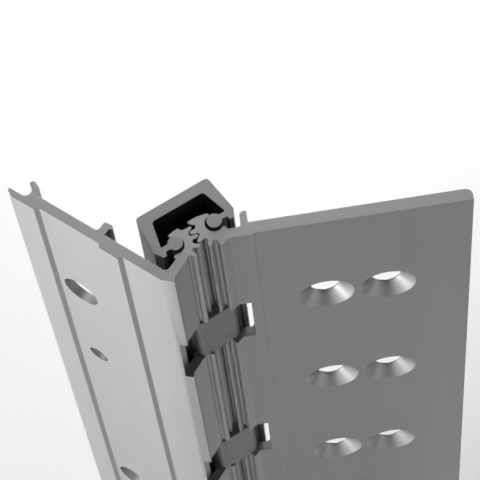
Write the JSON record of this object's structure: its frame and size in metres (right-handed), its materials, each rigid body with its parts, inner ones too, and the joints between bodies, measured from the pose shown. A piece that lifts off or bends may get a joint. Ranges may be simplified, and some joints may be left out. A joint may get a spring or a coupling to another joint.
{
  "type": "continuous geared hinge",
  "caption": "Continuous geared door hinge: extruded leaves with meshing toothed knuckles turn on the rods of a C-shaped cap, with thrust bearings in notches.",
  "frame": {"origin": "middle of the footprint on the lower end, with the hinge part open as in the picture", "axes": "+Z along the hinge, +X from the knuckle along the flat frame leaf, screw heads towards -Y"},
  "size_m": [0.1074, 0.0318, 0.3311],
  "materials": {
    "leaf_aluminium": "extruded, clear anodised",
    "cap_aluminium": "extruded, clear anodised",
    "bearing_acetal": "moulded acetal"
  },
  "bodies": {
    "cap": {"cap": "cap_aluminium", "thrust_bearing_1": "bearing_acetal", "thrust_bearing_2": "bearing_acetal", "thrust_bearing_3": "bearing_acetal", "thrust_bearing_4": "bearing_acetal"},
    "frame_leaf": {"frame_leaf": "leaf_aluminium"},
    "door_leaf": {"door_leaf": "leaf_aluminium"}
  },
  "joints": [
    {"name": "frame_leaf_swing", "type": "hinge", "parent": "cap", "child": "frame_leaf", "pos_m": [-0.00679, -0.00231, 0.1651], "axis": [0, 0, 1], "range_deg": [-66, 24]},
    {"name": "door_leaf_swing", "type": "hinge", "parent": "cap", "child": "door_leaf", "pos_m": [-0.01647, -0.00662, 0.1651], "axis": [0, 0, 1], "range_deg": [-24, 66]}
  ],
  "couplings": [
    {"joint": "door_leaf_swing", "follows": "frame_leaf_swing", "ratio": -1}
  ]
}
